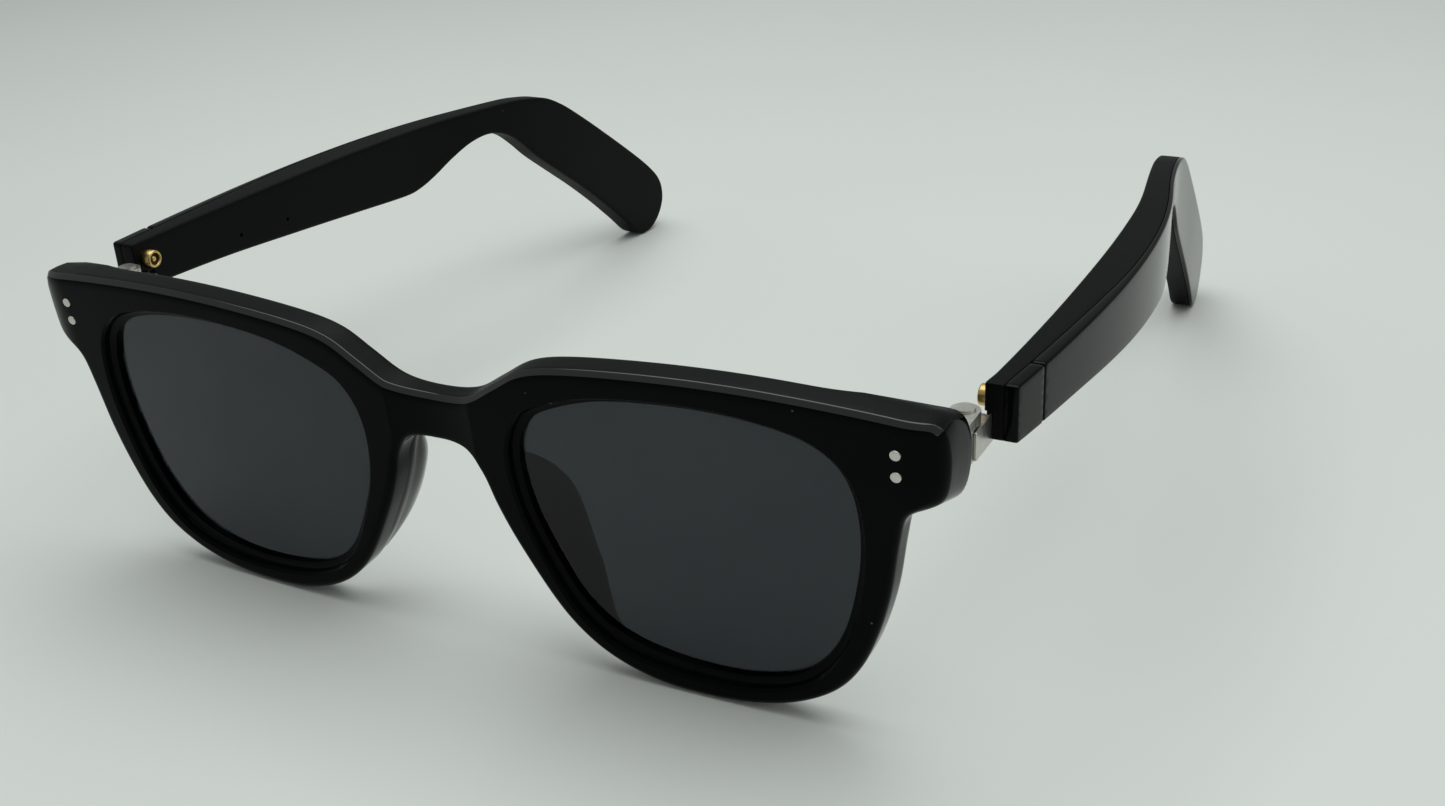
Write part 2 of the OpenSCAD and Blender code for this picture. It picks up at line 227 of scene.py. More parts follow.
def fill(rim, holes, spacing, creases=()):
    """Triangles of even size between a rim and its holes, with edges along the creases. Returns how many points
    are on the loops, all the points, and the triangles."""
    loops = [rim] + list(holes)
    edge = np.vstack(loops)
    low, high = rim.min(0), rim.max(0)
    rows = np.arange(low[1], high[1], spacing * 0.866)
    grid = [
        [[x, y] for x in np.arange(low[0] + (k % 2) * spacing / 2, high[0], spacing)] for k, y in enumerate(rows)
    ]
    grid = np.vstack(grid)
    grid = grid[inside(grid, loops)]
    near = np.empty(len(grid))
    for start in range(0, len(grid), 2000):
        q = grid[start : start + 2000]
        near[start : start + 2000] = np.sqrt(((q[:, None, :] - edge[None]) ** 2).sum(2)).min(1)
    grid = grid[near > spacing * 0.6]
    fold = [line[inside(line, loops)] for line in creases]
    for line in fold:
        gap = np.sqrt(((grid[:, None, :] - line[None]) ** 2).sum(2)).min(1)
        grid = grid[gap > spacing * 0.6]
    flat = np.vstack([edge] + fold + [grid])
    edges, start = [], 0
    for loop in loops:
        n = len(loop)
        edges += [(start + i, start + (i + 1) % n) for i in range(n)]
        start += n
    for line in fold:
        edges += [(start + i, start + i + 1) for i in range(len(line) - 1)]
        start += len(line)
    made = delaunay_2d_cdt([Vector(p) for p in flat], edges, [], 0, 1e-7)
    verts, tris, source = made[0], made[2], made[3]
    back = np.array([s[0] for s in source])
    middles = np.array([np.mean([verts[k] for k in f], axis=0) for f in tris])
    keep = inside(middles, loops)
    faces = []
    for f, ok in zip(tris, keep):
        if ok:
            f = [back[k] for k in f]
            a, b, c = (flat[k] for k in f[:3])
            if (b[0] - a[0]) * (c[1] - a[1]) - (b[1] - a[1]) * (c[0] - a[0]) < 0:
                f = f[::-1]
            faces.append(f)
    return len(edge), flat, faces


def slab(outline, low, high, low_edge, high_edge, place, spacing=1.2, walls=2, scale=1.0):
    """A plate between two faces. outline is a flat counter-clockwise loop. low and high give the faces' heights at
    flat points, and place turns flat points and heights into 3D. The edges are profiles, enlarged by scale."""
    shape = Shape()
    scale = np.broadcast_to(np.asarray(scale, float), (len(outline),))

    def edge_rows(profile, face, sign):
        rows, flats, at, run = [], [], outline, np.zeros(len(outline))
        for d, e in profile:
            at = pushed(at, d * scale - run)
            run = d * scale
            flats.append(at)
            rows.append(shape.add(place(at, face(at) + sign * e * scale)))
        return rows, flats

    low_rows, low_flats = edge_rows(low_edge, low, 1)
    high_rows, high_flats = edge_rows(high_edge, high, -1)
    bottom, top = low(outline) + low_edge[0][1] * scale, high(outline) - high_edge[0][1] * scale
    middle = [shape.add(place(outline, bottom + (top - bottom) * k / walls)) for k in range(1, walls)]
    side = low_rows[::-1] + middle + high_rows
    for a, b in zip(side, side[1:]):
        shape.strip(a, b)
    shape.sheet(low_rows[-1], low_flats[-1], [], [], lambda q: place(q, low(q)), spacing, True)
    shape.sheet(high_rows[-1], high_flats[-1], [], [], lambda q: place(q, high(q)), spacing, False)
    return shape


def turned_profile(profile, place, segments=48, shape=None):
    """A lathe form. profile is (radius, height) from axis to axis, and place takes it to 3D."""
    shape = shape or Shape()
    a = np.arange(segments) * 2 * math.pi / segments
    rows = []
    for r, h in profile[1:-1]:
        rows.append(shape.add(place(np.stack([r * np.cos(a), r * np.sin(a), np.full(segments, h)], 1))))
    for p, q in zip(rows, rows[1:]):
        shape.strip(p, q)
    shape.fan(rows[0][::-1], place(np.array([[0, 0, profile[0][1]]]))[0])
    shape.fan(rows[-1], place(np.array([[0, 0, profile[-1][1]]]))[0])
    return shape


def ring_profile(profile, place, segments=48):
    """A lathe form with a bore: the profile is a closed counter-clockwise loop of (radius, height)."""
    shape = Shape()
    a = np.arange(segments) * 2 * math.pi / segments
    rows = [
        shape.add(place(np.stack([r * np.cos(a), r * np.sin(a), np.full(segments, h)], 1))) for r, h in profile
    ]
    for p, q in zip(rows, rows[1:] + rows[:1]):
        shape.strip(p, q)
    return shape


def combine(o, operation, others):
    """Takes the other objects out of a piece (DIFFERENCE) or makes one solid of them all (UNION)."""
    o.modifiers.clear()
    for c in others:
        m = o.modifiers.new("combine", "BOOLEAN")
        m.operation, m.solver, m.object = operation, "EXACT", c
    graph = bpy.context.evaluated_depsgraph_get()
    made = bpy.data.meshes.new_from_object(o.evaluated_get(graph))
    o.modifiers.clear()
    o.data = made
    for c in others:
        bpy.data.objects.remove(c)
    finish_edges(o, SHARP_DEG)


# ---------------------------------------------------------------- materials
class Nodes:
    def __init__(self, name):
        self.material = bpy.data.materials.new(name)
        self.material.use_nodes = True
        self.tree = self.material.node_tree
        self.shader = next(n for n in self.tree.nodes if n.type == "BSDF_PRINCIPLED")
        self.place = self.tree.nodes.new("ShaderNodeTexCoord").outputs["Object"]

    def new(self, kind, **sets):
        n = self.tree.nodes.new(kind)
        for k, v in sets.items():
            if hasattr(n, k):
                setattr(n, k, v)
        return n

    def link(self, a, b):
        self.tree.links.new(a, b)

    def stretched(self, scale):
        m = self.new("ShaderNodeMapping")
        m.inputs["Scale"].default_value = scale
        self.link(self.place, m.inputs["Vector"])
        return m.outputs["Vector"]

    def noise(self, size_mm, detail=3.0, stretch=(1, 1, 1), rough=0.5):
        """Noise whose grains are about size_mm across."""
        n = self.new("ShaderNodeTexNoise")
        n.inputs["Scale"].default_value = 1 / (size_mm * MM)
        n.inputs["Detail"].default_value = detail
        n.inputs["Roughness"].default_value = rough
        self.link(self.stretched(stretch) if tuple(stretch) != (1, 1, 1) else self.place, n.inputs["Vector"])
        return n.outputs["Fac"]

    def span(self, value, low, high, start=0.3, end=0.7):
        m = self.new("ShaderNodeMapRange")
        m.inputs["From Min"].default_value = start
        m.inputs["From Max"].default_value = end
        m.inputs["To Min"].default_value = low
        m.inputs["To Max"].default_value = high
        self.link(value, m.inputs["Value"])
        return m.outputs["Result"]

    def maths(self, how, a, b):
        m = self.new("ShaderNodeMath", operation=how)
        for value, socket in ((a, m.inputs[0]), (b, m.inputs[1])):
            if isinstance(value, (int, float)):
                socket.default_value = value
            else:
                self.link(value, socket)
        return m.outputs["Value"]

    def mix(self, factor, a, b):
        m = self.new("ShaderNodeMix", data_type="RGBA")
        for value, socket in ((factor, m.inputs[0]), (a, m.inputs[6]), (b, m.inputs[7])):
            if isinstance(value, (int, float)):
                socket.default_value = value
            elif isinstance(value, tuple):
                socket.default_value = (*value, 1)
            else:
                self.link(value, socket)
        return m.outputs[2]

    def bump(self, *layers):
        """Layers are (height, strength, depth in mm)."""
        normal = None
        for height, strength, depth in layers:
            b = self.new("ShaderNodeBump")
            b.inputs["Strength"].default_value = strength
            b.inputs["Distance"].default_value = depth * MM
            self.link(height, b.inputs["Height"])
            if normal is not None:
                self.link(normal, b.inputs["Normal"])
            normal = b.outputs["Normal"]
        self.link(normal, self.shader.inputs["Normal"])

    def dust(self, cell_mm, size):
        """Sparse specks: 1 on a speck, 0 elsewhere."""
        v = self.new("ShaderNodeTexVoronoi")
        v.inputs["Scale"].default_value = 1 / (cell_mm * MM)
        v.inputs["Randomness"].default_value = 1.0
        self.link(self.place, v.inputs["Vector"])
        near = self.maths("LESS_THAN", v.outputs["Distance"], size)
        pick = self.new("ShaderNodeSeparateColor")
        self.link(v.outputs["Color"], pick.inputs["Color"])
        return self.maths("MULTIPLY", near, self.maths("GREATER_THAN", pick.outputs["Red"], 0.72))


def polished_acetate(name, base, specular=0.5, speck=0.035):
    n = Nodes(name)
    s = n.shader
    cloud = n.noise(9.0, 4)
    specks = n.dust(4.2, speck)
    black = n.mix(n.span(cloud, 0, 1), tuple(c * 0.8 for c in base), tuple(c * 1.25 for c in base))
    n.link(n.mix(specks, black, (0.07, 0.08, 0.08)), s.inputs["Base Color"])
    haze = n.span(n.noise(1.6, 5), 0.035, 0.085)
    smear = n.span(n.noise(14.0, 2), 0.0, 0.04)
    n.link(n.maths("ADD", n.maths("ADD", haze, smear), n.maths("MULTIPLY", specks, 0.4)), s.inputs["Roughness"])
    s.inputs["Specular IOR Level"].default_value = specular
    s.inputs["IOR"].default_value = 1.49
    hair = n.noise(0.35, 2, (1, 0.05, 0.6))
    n.bump((n.noise(6.0, 2), 0.25, 0.03), (hair, 0.06, 0.004))
    return n.material


def satin_plastic(name, base, grain=0.14, roughness=(0.42, 0.52), depth=0.014, strength=0.35, specular=0.3):
    n = Nodes(name)
    s = n.shader
    fine = n.noise(grain, 3)
    wide = n.noise(11.0, 3)
    colour = n.mix(n.span(wide, 0, 1), tuple(c * 0.85 for c in base), tuple(c * 1.2 for c in base))
    specks = n.dust(5.5, 0.03)
    n.link(n.mix(specks, colour, (0.12, 0.12, 0.12)), s.inputs["Base Color"])
    n.link(n.maths("ADD", n.span(fine, *roughness), n.span(wide, 0.0, 0.05)), s.inputs["Roughness"])
    s.inputs["Specular IOR Level"].default_value = specular
    n.bump((fine, strength, depth), (wide, 0.1, 0.02))
    return n.material


def brushed_metal(name, base, roughness=(0.24, 0.38), streak=(1, 1, 0.06), tint=0.12):
    n = Nodes(name)
    s = n.shader
    lines = n.noise(0.09, 4, streak, 0.6)
    wear = n.noise(1.4, 4)
    n.link(n.mix(n.span(wear, 0, 1), tuple(c * (1 - tint) for c in base), base), s.inputs["Base Color"])
    s.inputs["Metallic"].default_value = 1.0
    n.link(n.maths("ADD", n.span(lines, *roughness), n.span(wear, 0.0, 0.08)), s.inputs["Roughness"])
    n.bump((lines, 0.3, 0.006), (wear, 0.15, 0.01))
    return n.material


def tinted_lens(name):
    n = Nodes(name)
    s = n.shader
    smear = n.noise(12.0, 3)
    n.link(n.mix(n.span(smear, 0, 1), (0.025, 0.030, 0.035), (0.029, 0.034, 0.039)), s.inputs["Base Color"])
    s.inputs["Transmission Weight"].default_value = 1.0
    s.inputs["IOR"].default_value = 1.3
    n.link(n.span(n.noise(3.0, 4), 0.0, 0.012), s.inputs["Roughness"])
    n.bump((n.noise(18.0, 1), 0.05, 0.05))
    return n.material


def circuit_board(name):
    n = Nodes(name)
    s = n.shader
    brick = n.new("ShaderNodeTexBrick")
    brick.inputs["Scale"].default_value = 1 / (2.4 * MM)
    brick.inputs["Mortar Size"].default_value = 0.06
    n.link(n.stretched((1, 1, 1)), brick.inputs["Vector"])
    lines = brick.outputs["Fac"]
    n.link(n.mix(lines, (0.012, 0.11, 0.055), (0.05, 0.24, 0.1)), s.inputs["Base Color"])
    n.link(n.span(n.noise(0.6, 3), 0.3, 0.45), s.inputs["Roughness"])
    n.bump((lines, 0.4, 0.02))
    return n.material


def woven_mesh(name):
    n = Nodes(name)
    s = n.shader
    s.inputs["Metallic"].default_value = 1.0
    holes = n.new("ShaderNodeTexVoronoi")
    holes.inputs["Scale"].default_value = 1 / (0.22 * MM)
    holes.inputs["Randomness"].default_value = 0.0
    n.link(n.place, holes.inputs["Vector"])
    # The holes are painted near black, painted shade standing for the dark behind them; the same mask makes them
    # rougher and sinks them in the bump.
    painted_shade_holes = n.maths("LESS_THAN", holes.outputs["Distance"], 0.3)
    n.link(n.mix(painted_shade_holes, (0.25, 0.25, 0.25), (0.01, 0.01, 0.01)), s.inputs["Base Color"])
    n.link(n.span(painted_shade_holes, 0.35, 0.8, 0, 1), s.inputs["Roughness"])
    n.bump((painted_shade_holes, 0.6, -0.03))
    return n.material


def pouch_foil(name, base):
    n = Nodes(name)
    s = n.shader
    s.inputs["Metallic"].default_value = 0.85
    folds = n.noise(2.2, 4, (1, 0.4, 1))
    n.link(n.mix(n.span(folds, 0, 1), tuple(c * 0.8 for c in base), base), s.inputs["Base Color"])
    n.link(n.span(folds, 0.28, 0.45), s.inputs["Roughness"])
    n.bump((folds, 0.5, 0.08))
    return n.material


def studio_floor(name):
    n = Nodes(name)
    s = n.shader
    paper = n.noise(0.8, 4)
    tone = n.noise(260.0, 2)
    sheet = n.mix(n.span(tone, 0, 1), (0.72, 0.745, 0.72), (0.76, 0.785, 0.76))
    # Painted shade: the floor's colour darkens with distance from the glasses, standing in for the lamps' light
    # falling off towards the far edges of the floor.
    reach = n.new("ShaderNodeVectorMath", operation="DISTANCE")
    n.link(n.place, reach.inputs[0])
    reach.inputs[1].default_value = (0.0, -0.02, 0)
    far = n.span(reach.outputs["Value"], 0, 1, 0.12, 0.75)
    n.link(n.mix(far, sheet, (0.56, 0.58, 0.56)), s.inputs["Base Color"])
    n.link(n.span(paper, 0.45, 0.6), s.inputs["Roughness"])
    s.inputs["Specular IOR Level"].default_value = 0.25
    n.bump((paper, 0.04, 0.05))
    return n.material


FRAME_BLACK = polished_acetate("frame_black", (0.0012, 0.0017, 0.0017), specular=0.045)
# Painted light: a lighter, rougher copy of the frame's black for the brow's upward-facing top, its lighter black
# standing in for the overhead light falling on it.
FRAME_TOP_PAINTED_LIGHT = satin_plastic("frame_top_painted_light", (0.0028, 0.0036, 0.0035), 0.2, (0.32, 0.42), 0.008, 0.25, 0.08)
FRAME_BEVEL = polished_acetate("frame_bevel", (0.0012, 0.0017, 0.0017), specular=0.9, speck=0.02)
PAD_BLACK = polished_acetate("pad_black", (0.002, 0.0026, 0.0026), specular=0.12)
COVER_GLOSS = polished_acetate("cover_gloss", (0.0018, 0.0024, 0.0024), specular=0.07, speck=0.02)
TEMPLE_SATIN = satin_plastic("temple_satin", (0.0018, 0.0023, 0.0023), specular=0.07)
INSULATOR = satin_plastic("insulator", (0.012, 0.012, 0.012), 0.1)
SPEAKER_CASE = satin_plastic("speaker_case", (0.03, 0.03, 0.032), 0.2)
FLEX_FILM = satin_plastic("flex_film", (0.35, 0.14, 0.03), 0.5, (0.25, 0.35), 0.01)
HINGE_STEEL = brushed_metal("hinge_steel", (0.62, 0.61, 0.57))
RIVET_STEEL = brushed_metal("rivet_steel", (0.66, 0.64, 0.60), (0.25, 0.42), (1, 1, 1))
CONTACT_GOLD = brushed_metal("contact_gold", (0.72, 0.52, 0.20), (0.2, 0.34), (0.06, 1, 1))
MIC_CAN = brushed_metal("mic_can", (0.6, 0.6, 0.6), (0.3, 0.4), (1, 1, 1))
MESH_STEEL = woven_mesh("mesh_steel")
CELL_FOIL = pouch_foil("cell_foil", (0.52, 0.54, 0.57))
BOARD = circuit_board("board")
LENS_GREY = tinted_lens("lens_grey")

# ---------------------------------------------------------------- the front
LEAN = math.radians(4.1)
FRONT_Z = 27.39
FORM_R = 1430.0
RIM_T = 4.7
BRIDGE_SET, BRIDGE_HALF = 0.85, 6.9
ROUND_FROM = 66.0
END_SLOPE = 0.42

half_outline = [
    [0, 11.7], [6, 12.4], [10.8, 15.2], [15.5, 18], [22, 19.4], [34, 20.4], [46, 20.7], [58, 20.3], [68, 19.5],
    [71, 18.6], [71.8, 14], [71.2, 9.6], [69.2, 8], [66.8, 6.4], [65.7, 2], [64.4, -5.5], [62.5, -12],
    [60, -17.6], [56.6, -21.8], [51.4, -25], [45, -26.9], [38, -27.5], [31, -27.1], [24.8, -25.2], [20, -22.1],
    [15.9, -17.4], [11.2, -9.2], [8.6, -3.4], [7.1, 1.2], [5.2, 4], [2.5, 4.7], [0, 4.7],
]
opening_points = [
    [18.6, 13.6], [26.5, 16], [38, 17], [48, 16.5], [55.6, 14.6], [60, 10.4], [61.5, 3], [60.6, -6],
    [57.8, -15], [52.6, -21.4], [44.5, -24.3], [35, -24.6], [26, -22.8], [20, -18.6], [15.8, -11.4],
    [12.6, -2.6], [12, 5.4], [14.2, 10.8],
]
LENS_MID = np.array([36.7, -3.6])
LENS_SIZE = np.array([49.6, 41.4])
STEP_W = 1.0
LENS_RECESS, LENS_T, LENS_LIP = 2.0, 1.8, 0.35
RIVET_X, RIVET_R = 66.0, 0.72
RIVET_V = (12.36, 15.29)
# Places in the front's list of materials
BLACK, PAINTED_LIGHT_TOP, GLOSS = 0, 1, 2


def grown(loop, by):
    return LENS_MID + (loop - LENS_MID) * (1 + 2 * by / LENS_SIZE)


def front_face(q):
    """How far back the front's face lies at flat points (x, height)."""
    x = np.abs(q[:, 0])
    hollow = BRIDGE_SET * np.clip(1 - (x / BRIDGE_HALF) ** 2, 0, None)
    return x**2 / (2 * FORM_R) + hollow + 0.05 * np.clip(x - ROUND_FROM, 0, None) ** 2


def front_back(q):
    x, v = np.abs(q[:, 0]), q[:, 1]
    deeper = 5.4 * np.clip((x - 54) / 18, 0, 1) ** 2 * ease((v - 5.6) / 2.6)
    return x**2 / (2 * FORM_R) + RIM_T + deeper


def lean(flat, depth):
    """Flat points on the leaning front at a depth behind its own plane."""
    c, s = math.cos(LEAN), math.sin(LEAN)
    x, v = flat[:, 0], flat[:, 1]
    # the end piece's top falls away towards its back
    v = v - END_SLOPE * np.clip(depth - 6.2, 0, None) * ease((v - 9) / 8) * (np.abs(x) > 50)
    # and its lower corner reaches further down there
    corner = ease((13 - v) / 5) * ease((v - 5) / 3) * ease((np.abs(x) - 64) / 3)
    v = v - END_SLOPE * np.clip(depth - 2.5, 0, None) * corner
    return np.stack([x, depth * c - v * s, v * c + depth * s + FRONT_Z], 1)


def make_front():
    shape = Shape()
    right = np.array(half_outline)
    left = (right[1:-1] * [-1, 1])[::-1]
    outline = counter_clockwise(smooth_curve(np.vstack([right, left]), True, 0.42, 0.45))
    opening = counter_clockwise(smooth_curve(opening_points, True, 0.42, 0.3))
    n = len(outline)
    v, x = outline[:, 1], np.abs(outline[:, 0])
    up = -inward_normals(outline)[:, 1]

    # The brow has a facet, the rest of the outline a round edge
    brow = ease((up - 0.15) / 0.45) * ease((v - 9) / 2.5)
    facet, rounded = chamfer_edge(0.72, 1.1, 9), round_edge(1.15, 9)
    profile = brow[None, :, None] * facet[:, None, :] + (1 - brow)[None, :, None] * rounded[:, None, :]
    by_nose = ease((24 - x) / 3) * (v < 2) * (v > -23)
    back_r = 0.75 - 0.6 * by_nose

    def rows_from(profile_rows, face, sign):
        rows, flats, at, run = [], [], outline, np.zeros(n)
        for step in profile_rows:
            at = pushed(at, step[:, 0] - run)
            run = step[:, 0]
            flats.append(at)
            rows.append(shape.add(lean(at, face(at) + sign * step[:, 1])))
        return rows, flats

    back_profile = [np.stack([d * back_r, e * back_r], 1) for d, e in round_edge(1.0, 5)]
    fronts, front_flats = rows_from(list(profile), front_face, 1)
    backs, back_flats = rows_from(back_profile, front_back, -1)
    start = front_face(outline) + profile[0][:, 1]
    end = front_back(outline) - back_profile[0][:, 1]
    walls = [shape.add(lean(outline, start + (end - start) * k / 4)) for k in (1, 2, 3)]
    side = backs[::-1] + walls[::-1] + fronts
    # The brow's upward-facing top gets a lighter, rougher black, painted light from above, and the edge in front
    # of it is the glossiest part
    painted_light_top_mask = ((up > 0.4) & (v > 9)).astype(int)
    for k, (a, b) in enumerate(zip(side, side[1:])):
        past_wall = k - (len(side) - len(fronts))
        on_top = k >= len(backs) - 2 and past_wall < 0
        on_edge = 0 <= past_wall < 3
        shape.strip(a, b, PAINTED_LIGHT_TOP * painted_light_top_mask if on_top else GLOSS * (brow > 0.5) if on_edge else BLACK)

    front_holes, front_hole_flats, back_holes, back_hole_flats = [], [], [], []
    for sign in (1, -1):
        hole = opening if sign > 0 else counter_clockwise(opening * [-1, 1])
        inner = grown(hole * [sign, 1], -STEP_W) * [sign, 1]
        rows = []
        for d, e in ((0.5, 0.0), (0.36, 0.02), (0.08, 0.27), (0.0, 0.4)):
            at = pushed(hole, -d)
            rows.append(shape.add(lean(at, front_face(at) + e)))
            if d == 0.5:
                front_hole_flats.append(at)
        front_holes.append(rows[0])
        rows.append(shape.add(lean(hole, front_face(hole) + 1.05)))
        for share, e in ((0.08, 1.3), (0.5, 1.5), (0.92, 1.62), (1.0, 1.8)):
            at = hole + (inner - hole) * share
            rows.append(shape.add(lean(at, front_face(at) + e)))
        for d, e in ((0.0, 1.2), (0.12, 0.95), (0.75, 0.32), (1.0, 0.08), (1.25, 0.0)):
            at = pushed(inner, -d)
            rows.append(shape.add(lean(at, front_back(at) - e)))
        back_holes.append(rows[-1])
        back_hole_flats.append(at)
        for a, b in zip(rows, rows[1:]):
            shape.strip(b, a)

    for sign in (1, -1):
        for rv in RIVET_V:
            turn = np.arange(28) * 2 * math.pi / 28
            ring = np.stack([np.cos(turn), np.sin(turn)], 1)
            middle = np.array([sign * RIVET_X, rv])
            rows = []
            for r, e in ((0.86, 0.0), (0.78, 0.06), (0.76, 0.5)):
                at = middle + ring * r
                rows.append(shape.add(lean(at, front_face(at) + e)))
                if e == 0.0:
                    front_hole_flats.append(at)
            front_holes.append(rows[0])
            for a, b in zip(rows, rows[1:]):
                shape.strip(b, a)
            shape.fan(rows[-1], lean(middle[None], front_face(middle[None]) + 0.5)[0])

    creases = [np.array([[sign * BRIDGE_HALF, h] for h in np.arange(3.2, 13.4, 0.4)]) for sign in (1, -1)]
    shape.sheet(fronts[-1], front_flats[-1], front_holes, front_hole_flats,
                lambda q: lean(q, front_face(q)), 0.9, False, creases)
    shape.sheet(backs[-1], back_flats[-1], back_holes, back_hole_flats,
                lambda q: lean(q, front_back(q)), 1.0, True)
    o = shape.build("front_frame_look", [FRAME_BLACK, FRAME_TOP_PAINTED_LIGHT, FRAME_BEVEL], sharp=26)
    ends = [o.data.vertices[k].co for e in o.data.edges for k in e.vertices]
    for e, a, b in zip(o.data.edges, ends[::2], ends[1::2]):
        if all(abs(abs(p.x) / MM - BRIDGE_HALF) < 0.01 for p in (a, b)):
            e.use_edge_sharp = True
    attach(o, "front")
    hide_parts("front_frame")


def make_rivets():
    shape = Shape()
    profile = [(0, -3.0), (0.55, -3.0), (RIVET_R, -0.4), (RIVET_R, -0.03), (0.66, 0.05), (0.45, 0.085),
               (0.2, 0.1), (0, 0.1)]
    for sign in (1, -1):
        for rv in RIVET_V:
            middle = np.array([[sign * RIVET_X, rv]])
            face = front_face(middle)[0]

            def place(p, sign=sign, rv=rv, face=face):
                return lean(np.stack([sign * RIVET_X + p[:, 0], rv - p[:, 1]], 1), face - p[:, 2])

            turned_profile(profile, place, 32, shape)
    o = shape.build("end_piece_rivets_look", [RIVET_STEEL], sharp=40)
    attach(o, "front")
    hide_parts("end_piece_rivets")


def make_lens(side):
    hole = counter_clockwise(smooth_curve(opening_points, True, 0.8, 0.3))
    edge = counter_clockwise(grown(hole, -STEP_W + LENS_LIP))

    def dome(q):
        r2 = (((q - LENS_MID) / (LENS_SIZE / 2)) ** 2).sum(1)
        return 0.35 * np.clip(1 - r2, -0.3, 1)

    def ahead(q):
        return -(front_face(q) + LENS_RECESS - dome(q))

    def behind(q):
        return -(front_face(q) + LENS_RECESS + LENS_T - dome(q))

    shape = slab(edge, behind, ahead, round_edge(0.2, 3), round_edge(0.2, 3), lambda q, d: lean(q, -d),
                 1.5, 2)
    o = shape.build(f"lens_{side}_look", [LENS_GREY], SIDES[side] < 0, sharp=50)
    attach(o, "front")
    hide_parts(f"lens_{side}")


# The nose pad's stations, from the bridge down: height, rim edge, ridge, rim edge by the lens, ridge's depth
PAD = np.array([
    [3.2, 6.3, 8.6, 11.4, 5.0],
    [0.8, 7.2, 10.6, 12.2, 8.6],
    [-3.5, 8.7, 12.6, 13.2, 11.4],
    [-8, 10.6, 13.9, 14.6, 11.9],
    [-12, 12.7, 15.0, 16.5, 11.6],
    [-16, 15.1, 16.9, 18.8, 10.6],
    [-20, 18.2, 19.6, 21.8, 8.2],
    [-23.4, 22.2, 23.2, 25.0, 5.2],
])


def make_pad(side):
    stations = smooth_curve(PAD, False, 0.7, 0.6)
    shape = Shape()
    rows = []
    for v, nose, ridge, lens, deep in stations:
        tall = deep - RIM_T
        section = smooth_curve([
            [nose + 0.05, RIM_T - 1.2], [nose - 0.02, RIM_T + tall * 0.12],
            [nose - 0.15 + tall * 0.03, RIM_T + tall * 0.5],
            [nose + (ridge - nose) * 0.42, RIM_T + tall * 0.9], [ridge, deep],
            [ridge + tall * 0.28, RIM_T + tall * 0.84], [ridge + tall * 0.42, RIM_T + tall * 0.5],
            [lens + tall * 0.08, RIM_T + tall * 0.12], [lens - 0.3, RIM_T - 1.2],
        ], True, 0.1)
        section = even(section, True, 1.0)
        turn = np.linspace(0, len(section), 40, endpoint=False)
        closed = np.vstack([section, section[:1]])
        at = np.arange(len(closed))
        flat = np.stack([np.interp(turn, at, closed[:, 0]), np.interp(turn, at, closed[:, 1])], 1)
        q = np.stack([flat[:, 0], np.full(len(flat), v)], 1)
        rows.append(shape.add(lean(q, q[:, 0] ** 2 / (2 * FORM_R) + flat[:, 1])))
    for a, b in zip(rows, rows[1:]):
        shape.strip(b, a)
    points = np.vstack(shape.points)
    shape.fan(rows[0][::-1], points[rows[0]].mean(0))
    shape.fan(rows[-1], points[rows[-1]].mean(0))
    o = shape.build(f"nose_pad_{side}_look", [PAD_BLACK], SIDES[side] < 0, sharp=60)
    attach(o, "front")
    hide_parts(f"nose_pad_{side}")


# ---------------------------------------------------------------- the temples
FRONT_Y, CAP_Y = 18.35, 26.2
TIP_Y = 170.0
inner_plan = smooth_curve([[70.3, 17], [70.8, 30], [71.05, 48], [70.8, 70], [69.9, 88], [68.8, 98], [67.1, 108],
                           [65.2, 120], [63.5, 135], [62.2, 150], [60.4, 170]], step=0.5, soften=2)
outer_plan = smooth_curve([[74.5, 17], [75.8, 30], [77, 48], [77.3, 64], [76.5, 80], [74.6, 94], [71.6, 108],
                           [69.6, 120], [68, 135], [66.7, 150], [64.9, 170]], step=0.5, soften=2)
joint_plan = smooth_curve([[72.7, 17], [74, 30], [75.5, 48], [76.4, 64], [75.8, 80], [73.9, 94], [70.9, 108],
                           [68.9, 120], [67.3, 135], [66, 150], [64.2, 170]], step=0.5, soften=2)
side_over = [[FRONT_Y, 45], [43, 44.5], [70, 44], [92, 43.5], [106, 43], [117, 42.3], [122.5, 41.6],
             [128.5, 40.2], [133.5, 37.6], [137.5, 34.9], [144.5, 29.8], [155.5, 21.4], [162.8, 15.4],
             [166.6, 11.2], [167.6, 7.2], [166.4, 3.8], [163.6, 1.1], [160, 0], [156.6, 1.2],
             [152.4, 5.2], [145.6, 11.4], [138.2, 17.6], [131, 23.2], [124.4, 28.4], [120.3, 32.2],
             [116.2, 35.4], [111, 37.2], [105.4, 36.8], [99.6, 34.9], [95, 33], [90.6, 31.7],
             [86, 31.4], [73, 32.5], [56.5, 34.1], [38, 35.9], [FRONT_Y, 37.3]]
CONTACT_Y, CONTACT_Z = 21.2, 41.9
MIC_AT = ((42.5, 38.4), (54.1, 37.4))
SEAM = 0.08
# The room for the electronics, seen from the side: (y, z)
BAY = [[29.5, 43.6], [50, 43.1], [70, 42.8], [96, 42.6], [96, 35.4], [92, 33.6],
       [86, 32.8], [73, 33.9], [56.5, 35.5], [38, 37.3], [29.5, 38]]


def along(plan):
    return lambda q: np.interp(q[:, 0], plan[:, 1], plan[:, 0])


def upright(q, x):
    return np.stack([x, q[:, 0], q[:, 1]], 1)


